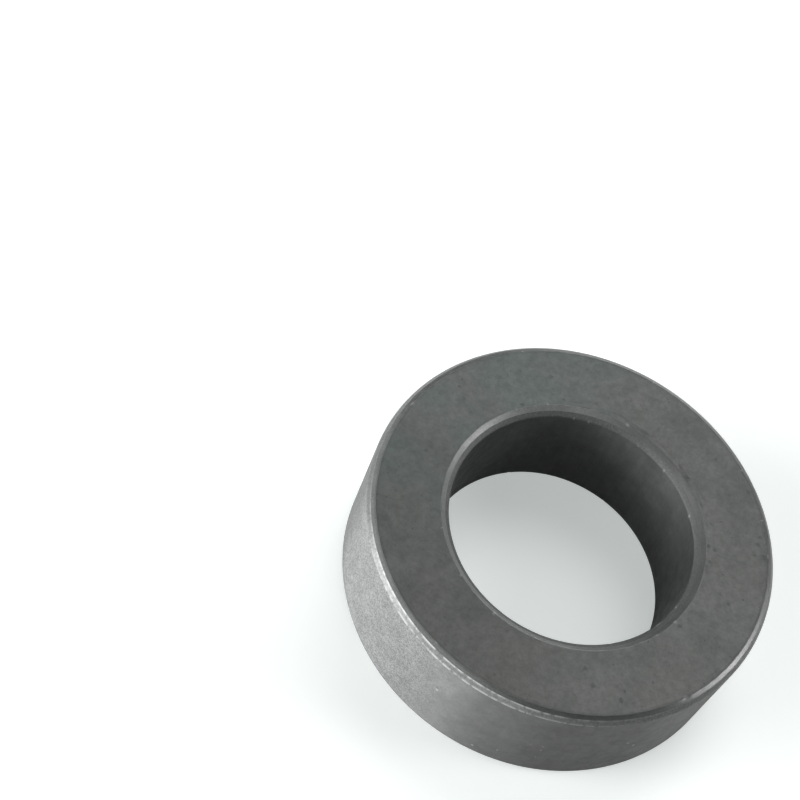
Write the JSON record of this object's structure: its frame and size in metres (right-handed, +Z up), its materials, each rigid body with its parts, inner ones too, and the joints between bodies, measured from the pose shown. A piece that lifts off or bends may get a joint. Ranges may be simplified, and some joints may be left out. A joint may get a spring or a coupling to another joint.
{
  "type": "ferrite toroid core",
  "caption": "Bare sintered ferrite ring with a wide bore, ground flat faces and a two-slope edge relief, for winding a transformer, choke or inductor.",
  "frame": {"origin": "centre of the lower ground face, on the bore axis", "axes": "+Z up along the bore axis, +X and +Y in the lower face"},
  "size_m": [0.063, 0.063, 0.02],
  "materials": {
    "ferrite": "dark grey sintered manganese-zinc ferrite: matt ground faces, satin fine-grained walls and a paler worn edge relief"
  },
  "bodies": {
    "root": {"toroid_core": "ferrite"}
  },
  "joints": []
}
